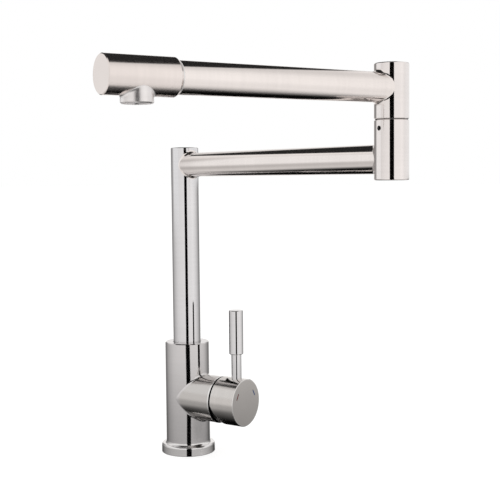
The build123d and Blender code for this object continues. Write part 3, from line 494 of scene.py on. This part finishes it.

# %% [markdown]
# The valve barrel and the handle cap meet at a narrow seam. Both edges there catch the light as a
# thin bright ring, and the barrel's end lies in the shade between them. Both are painted on: the
# rings as a painted highlight in a bright tone, and the end as painted shade in a near-black tone.
# They are too fine for pieces of their own, so they are masks too, measured along the valve and
# inwards from its outside. The cap has a second painted highlight, a bright ring round its face.

# %% Painted highlights and shade at the valve's seam
along_valve = Vector((1, 0, 0))
cap_low, cap_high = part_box("handle_cap")
cap_middle = (cap_low + cap_high) / 2
valve_axis = (0, cap_middle.y, cap_middle.z)
valve_radius = (cap_high.y - cap_low.y) / 2
mouth_x = 0.0440
mouth_inset = 0.00035
mouth_reach = 0.0009
rim_width = 0.0010
rim_reach = 0.0020
ring_softness = 0.0003
rim_strength = 0.75
seam_x = 0.0452
cap_back_reach = 0.0010
cap_face_reach = 0.0004
cap_face_width = 0.0012
cap_ring_strength = 0.5


def valve_depth(tree, place):
    """How far a place lies inside the valve's outer surface."""
    off_axis = tree.vector("MULTIPLY", tree.vector("SUBTRACT", place, valve_axis), (0, 1, 1))
    return valve_radius - tree.measure("LENGTH", off_axis)


def barrel_mouth_shade(tree, place):
    """The end of the barrel and its bevel, painted near black as the shade of the seam."""
    inside = (valve_depth(tree, place) - mouth_inset).above_zero(sharp)
    return inside * (tree.dot(place, along_valve) - mouth_x + mouth_reach).above_zero(sharp)


def barrel_rim_highlight(tree, place):
    """The edge of the barrel beside the seam, with a painted highlight in a bright tone."""
    outer = (rim_width - valve_depth(tree, place)).above_zero(sharp)
    near_seam = (tree.dot(place, along_valve) - mouth_x + rim_reach).above_zero(ring_softness)
    return outer * near_seam * rim_strength


def cap_rim_highlights(tree, place):
    """The edges of the handle cap, beside the seam and round its face, with painted highlights."""
    along = tree.dot(place, along_valve)
    near_seam = (seam_x + cap_back_reach - along).above_zero(ring_softness)
    near_face = (along - cap_high.x + cap_face_reach).above_zero(sharp)
    outer = (cap_face_width - valve_depth(tree, place)).above_zero(sharp)
    return (near_seam + near_face * outer) * cap_ring_strength


print(f"a seam of {(seam_x - mouth_x) * 1000:.1f} mm on a valve {valve_radius * 2000:.1f} mm across")

# %% [markdown]
# The head's sleeve ends in a turned ring where the arm tube goes in. It has a rougher turned finish,
# and the light it catches is painted on as a brighter tone. It is too narrow for a piece of its own,
# so it is a mask as well. Its place is measured along the arm, from the sleeve's own points, and the
# arms' headings turn the grinding lines of their tubes too.

# %% Headings of the arms and the painted highlight on the head's rear ring
lower_arm_heading = math.radians(-17.5)
upper_arm_heading = math.radians(246.2)
lower_arm_way = Vector((math.cos(lower_arm_heading), math.sin(lower_arm_heading), 0))
upper_arm_way = Vector((math.cos(upper_arm_heading), math.sin(upper_arm_heading), 0))
head_rear = min(vertex.co.dot(upper_arm_way) for vertex in nodes["head_sleeve"].data.vertices)
rear_ring_width = 0.0012
rear_ring_softness = 0.0002


def sleeve_end_highlight(tree, place):
    """The turned ring at the rear of the head's sleeve, with a painted highlight."""
    along = tree.dot(place, upper_arm_way)
    return (head_rear - along + rear_ring_width).above_zero(rear_ring_softness)


print(f"the head's sleeve begins {head_rear:.3f} m along the arm's heading")

# %% [markdown]
# One steel dresses the whole tap, but each part left its own grinding belt. The column and the riser
# are fairly smooth, the head is coarser, the lever is polished and the nozzle is left dull. One
# material could serve them all, but a tone and a roughness for each part keep the parts distinct
# where they meet, as on the real tap.

# %% Steel finishes
warm_tone = (0.92, 0.86, 0.83)
# The next tone paints highlights on thin rims, and the one after is near black, for painted shade.
highlight_tone = (0.95, 0.94, 0.93)
shade_tone = (0.02, 0.02, 0.02)
casting_accents = [
    (foot_side, (0.84, 0.825, 0.82), 0.11),
    (barrel_side, (0.635, 0.61, 0.59), 0.12),
    # A painted highlight on the barrel's rim, then painted shade in the barrel's mouth.
    (barrel_rim_highlight, highlight_tone, 0.12),
    (barrel_mouth_shade, shade_tone, 0.5),
]
finishes = {
    "body": brushed_steel("steel_body", tone=(0.73, 0.71, 0.71), across=up, roughness=0.11,
                          upright=True, accents=casting_accents),
    "riser": brushed_steel("steel_riser", tone=(0.80, 0.79, 0.80), across=up, roughness=0.09,
                           upright=True),
    "elbow": brushed_steel("steel_elbow", tone=(0.90, 0.85, 0.83), across=up, roughness=0.09,
                           upright=True),
    "lower_arm": brushed_steel("steel_lower_arm", tone=warm_tone, across=lower_arm_way, roughness=0.10),
    "upper_arm": brushed_steel("steel_upper_arm", tone=warm_tone, across=upper_arm_way, roughness=0.10),
    "head": brushed_steel("steel_head", tone=(0.87, 0.80, 0.765), across=upper_arm_way, roughness=0.15,
                          accents=[(sleeve_end_highlight, highlight_tone, 0.45)]),
    "handle": brushed_steel("steel_handle", tone=(0.71, 0.68, 0.655), across=along_valve, roughness=0.14,
                            accents=[(cap_rim_highlights, highlight_tone, 0.14)]),
    "lever": brushed_steel("steel_lever", tone=(0.80, 0.79, 0.795), across=up, roughness=0.06,
                           line_depth=0.01, upright=True),
    "nozzle": brushed_steel("steel_nozzle", tone=(0.91, 0.88, 0.87), across=up, roughness=0.32,
                            line_depth=0.2, mottle=0.10),
    # The dome ring shows only deep in the seam, and its near-black tone is painted shade for the seam's
    # shadow.
    "dome": brushed_steel("dome_steel_painted_shade", tone=shade_tone, across=along_valve, roughness=0.3),
    "screw": brushed_steel("steel_screw", tone=(0.55, 0.54, 0.53), across=up, roughness=0.25),
}
print(f"{len(finishes)} brushed finishes")

# %% [markdown]
# The pieces inside are brass, nylon, rubber, moulded plastic and fired ceramic. They show only at
# the seams, and a flat colour would do for that. Each one still gets a finish with its own grain, so
# that the tap can be taken apart in another scene. In the list, each name is followed by the tone,
# the roughness, how fine the grain is, and how deep it is in metres.

# %% Other materials
moulded_mottle = 0.08
grain_strength = 0.3


def moulded(name, tone, roughness, grain_scale, grain_depth, metallic=0.0):
    """A plain material with a fine grain in its colour, roughness and surface."""
    material, tree = new_material(name)
    place = tree.node("ShaderNodeTexCoord", output="Object")
    grain = noise(tree, place, grain_scale, detail=3.0, roughness=0.6)
    dark = tuple(value * (1 - moulded_mottle) for value in tone)
    bump = tree.node("ShaderNodeBump", {}, {
        "Strength": grain_strength, "Distance": grain_depth, "Height": grain})
    shader = tree.node("ShaderNodeBsdfPrincipled", {}, {
        "Base Color": tree.blend(grain, (*dark, 1), (*tone, 1)),
        "Metallic": metallic,
        "Roughness": roughness + (grain - noise_middle) * roughness * roughness_share,
        "Normal": bump})
    tree.node("ShaderNodeOutputMaterial", {}, {"Surface": shader})
    return material


finishes.update({
    "brass": moulded("turned_brass", (0.72, 0.55, 0.27), 0.28, 900.0, 0.00002, metallic=1.0),
    "rubber": moulded("seal_rubber", (0.03, 0.03, 0.03), 0.6, 1500.0, 0.00003),
    "nylon": moulded("glide_nylon", (0.10, 0.10, 0.10), 0.42, 1200.0, 0.00002),
    "plastic": moulded("cartridge_plastic", (0.75, 0.75, 0.72), 0.38, 1200.0, 0.00002),
    "ceramic": moulded("disc_ceramic", (0.88, 0.87, 0.84), 0.22, 2500.0, 0.00001),
    "chrome": moulded("aerator_chrome", (0.78, 0.78, 0.79), 0.10, 700.0, 0.00001, metallic=1.0),
    "sieve": moulded("sieve_plastic", (0.16, 0.16, 0.17), 0.35, 900.0, 0.00002),
    "hot": moulded("hot_enamel", (0.17, 0.012, 0.012), 0.3, 1500.0, 0.00001),
    "cold": moulded("cold_enamel", (0.03, 0.075, 0.22), 0.3, 1500.0, 0.00001),
    "oxide": moulded("black_oxide", (0.012, 0.012, 0.012), 0.35, 1500.0, 0.00001),
})
print(f"{len(finishes)} finishes in all")

# %% [markdown]
# Each piece now gets its finish. A new object could stand in for it, but a node of the frame is
# already right, so it keeps its mesh and its place, and only its material is exchanged. The list is
# simply the bill of materials: each finish with the pieces that have it.

# %% Dress the pieces
dressed = {
    "body": ["body_shell"],
    "riser": ["riser_tube", "riser_top_cap", "riser_spigot"],
    "lower_arm": ["lower_arm_tube"],
    "elbow": [
        "elbow_lower_sleeve", "elbow_bottom_cap", "elbow_upper_sleeve", "elbow_top_cap", "elbow_spigot"],
    "upper_arm": ["upper_arm_tube"],
    "head": ["head_sleeve", "head_end_cap"],
    "handle": ["handle_cap"],
    "dome": ["dome_ring"],
    "lever": ["lever_rod", "lever_grip"],
    "nozzle": ["outlet_nozzle"],
    "screw": ["riser_retaining_screw", "handle_screw", "stem_pin"],
    "oxide": ["elbow_grub_screw"],
    "brass": ["cartridge_nut", "cartridge_stem"],
    "rubber": ["base_gasket", "port_seals", "riser_seals", "elbow_seals", "aerator_seal"],
    "nylon": ["riser_bush", "riser_thrust_washer", "elbow_glide_washer"],
    "plastic": ["cartridge_housing", "cartridge_base", "cartridge_rotor", "disc_carrier"],
    "ceramic": ["fixed_disc", "moving_disc"],
    "chrome": ["aerator_housing"],
    "sieve": ["aerator_sieve"],
    "hot": ["hot_mark"],
    "cold": ["cold_mark"],
}
for finish, members in dressed.items():
    for member in members:
        nodes[member].data.materials.clear()
        nodes[member].data.materials.append(finishes[finish])
left_over = set(nodes) - {member for members in dressed.values() for member in members}
print("pieces without a finish:", sorted(left_over))

# %% [markdown]
# What repeats by a rule is grown with Geometry Nodes. A loop in Python could place the same pieces,
# but a tree says the rule once and takes its sizes as named inputs. `grow` runs a tree once and
# keeps what it made as a plain mesh, because the exported model keeps meshes and no modifiers.

# %% Growing pieces


class Growth(Tree):
    """A Geometry Nodes tree with one named input for each size."""

    def __init__(self, name, size_names):
        self.tree = bpy.data.node_groups.new(name, "GeometryNodeTree")
        self.tree.interface.new_socket("Geometry", in_out="OUTPUT", socket_type="NodeSocketGeometry")
        self.identifiers = {}
        for size_name in size_names:
            size = self.tree.interface.new_socket(size_name, in_out="INPUT", socket_type="NodeSocketFloat")
            self.identifiers[size_name] = size.identifier
        inputs = self.tree.nodes.new("NodeGroupInput")
        self.sizes = [Wire(self, inputs.outputs[size_name]) for size_name in size_names]

    def end(self, geometry, material):
        real = self.node("GeometryNodeRealizeInstances", {}, {"Geometry": geometry})
        finished = self.node("GeometryNodeSetMaterial", {}, {"Geometry": real, "Material": material})
        self.node("NodeGroupOutput", {}, {"Geometry": finished})


def grow(name, growth, sizes, place):
    """Run the tree at the given sizes, and put the plain mesh that it makes at the given place."""
    piece = bpy.data.objects.new(name, bpy.data.meshes.new(name))
    bpy.context.scene.collection.objects.link(piece)
    modifier = piece.modifiers.new("growth", "NODES")
    modifier.node_group = growth.tree
    for size_name, value in sizes.items():
        modifier[growth.identifiers[size_name]] = value
    evaluated = piece.evaluated_get(bpy.context.evaluated_depsgraph_get())
    grown = bpy.data.meshes.new_from_object(evaluated)
    piece.modifiers.remove(modifier)
    piece.data = grown
    grown.transform(Matrix.Translation(place))
    shell = bmesh.new()
    shell.from_mesh(grown)
    bmesh.ops.recalc_face_normals(shell, faces=shell.faces)
    shell.to_mesh(grown)
    shell.free()
    print(f"{name}: {len(grown.polygons)} faces")
    return piece


print("ready to grow")

# %% [markdown]
# Below the sieve in the outlet lies a disc of woven wire, which breaks the water into a soft stream.
# It could be a flat sheet with a weave drawn on it, but only real wires catch the light from below.
# The tree begins with one straight wire, repeated in rows across the disc and cut to the circle. A
# copy of the rows, turned a quarter, crosses them.

# %% Rows of wire
steps_in_a_pitch = 4
quarter_turn = math.pi / 2

weave = Growth("wire_cloth", ("Radius", "Pitch", "Wire"))
radius, pitch, wire = weave.sizes
line_start = weave.node("ShaderNodeCombineXYZ", {}, {"X": -radius})
line_end = weave.node("ShaderNodeCombineXYZ", {}, {"X": radius})
straight = weave.node("GeometryNodeCurvePrimitiveLine", {}, {"Start": line_start, "End": line_end})
stepped = weave.node("GeometryNodeResampleCurve", {"mode": "LENGTH"}, {
    "Curve": straight, "Length": pitch / steps_in_a_pitch})
rows_each_side = weave.math("FLOOR", radius / pitch)
first_row = weave.node("ShaderNodeCombineXYZ", {}, {"Y": -(rows_each_side * pitch)})
next_row = weave.node("ShaderNodeCombineXYZ", {}, {"Y": pitch})
rows = weave.node("GeometryNodeMeshLine", {"mode": "OFFSET"}, {
    "Count": rows_each_side * 2 + 1, "Start Location": first_row, "Offset": next_row})
laid = weave.node("GeometryNodeInstanceOnPoints", {}, {"Points": rows, "Instance": stepped})
laid = weave.node("GeometryNodeRealizeInstances", {}, {"Geometry": laid})
spot = weave.node("GeometryNodeInputPosition")
outside = weave.math("GREATER_THAN", weave.measure("LENGTH", spot), radius)
warp = weave.node("GeometryNodeDeleteGeometry", {"domain": "POINT"}, {
    "Geometry": laid, "Selection": outside})
weft = weave.node("GeometryNodeTransform", {}, {"Geometry": warp, "Rotation": (0, 0, quarter_turn)})
print(f"rows cut to the circle, {steps_in_a_pitch} steps from one crossing to the next")

# %% [markdown]
# The real wires are not fused where they cross. Each one passes over a neighbour and under the next,
# and a cosine wave does just that: it lifts one set of rows where it lowers the other. The bent
# lines then get a round section, with only a few sides, because each wire is about a quarter of a
# millimetre thick.

# %% Over and under
wire_sides = 6

x_wave = weave.math("COSINE", weave.dot(spot, (math.pi, 0, 0)) / pitch)
y_wave = weave.math("COSINE", weave.dot(spot, (0, math.pi, 0)) / pitch)
wave = x_wave * y_wave * wire
section = weave.node("GeometryNodeCurvePrimitiveCircle", {}, {"Resolution": wire_sides, "Radius": wire})


def woven(threads, lift):
    up_and_down = weave.node("ShaderNodeCombineXYZ", {}, {"Z": lift})
    bent = weave.node("GeometryNodeSetPosition", {}, {"Geometry": threads, "Offset": up_and_down})
    return weave.node("GeometryNodeCurveToMesh", {}, {
        "Curve": bent, "Profile Curve": section, "Fill Caps": True})


both_ways = [woven(warp, wave), woven(weft, -wave)]
both = weave.node("GeometryNodeJoinGeometry", {}, {"Geometry": both_ways})
weave.end(both, finishes["chrome"])
print(f"the weave's tree has {len(weave.tree.nodes)} nodes")

# %% [markdown]
# The disc fits inside the nozzle's lip and lies just under the sieve that backs it, so its place is
# taken from the sieve's own box. It turns with the head, so it rides on the upper arm.

# %% Wire cloth in the outlet
lip_radius = 0.00735
cloth_pitch = 0.0010
wire_radius = 0.00014
drop_below_sieve = 2.2 * wire_radius

sieve_low, sieve_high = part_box("aerator_sieve")
sieve_middle = (sieve_low + sieve_high) / 2
cloth_place = Vector((sieve_middle.x, sieve_middle.y, sieve_low.z - drop_below_sieve))
cloth_sizes = {"Radius": lip_radius, "Pitch": cloth_pitch, "Wire": wire_radius}
wire_cloth = grow("aerator_wire_cloth", weave, cloth_sizes, cloth_place)
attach(wire_cloth, "upper_arm")
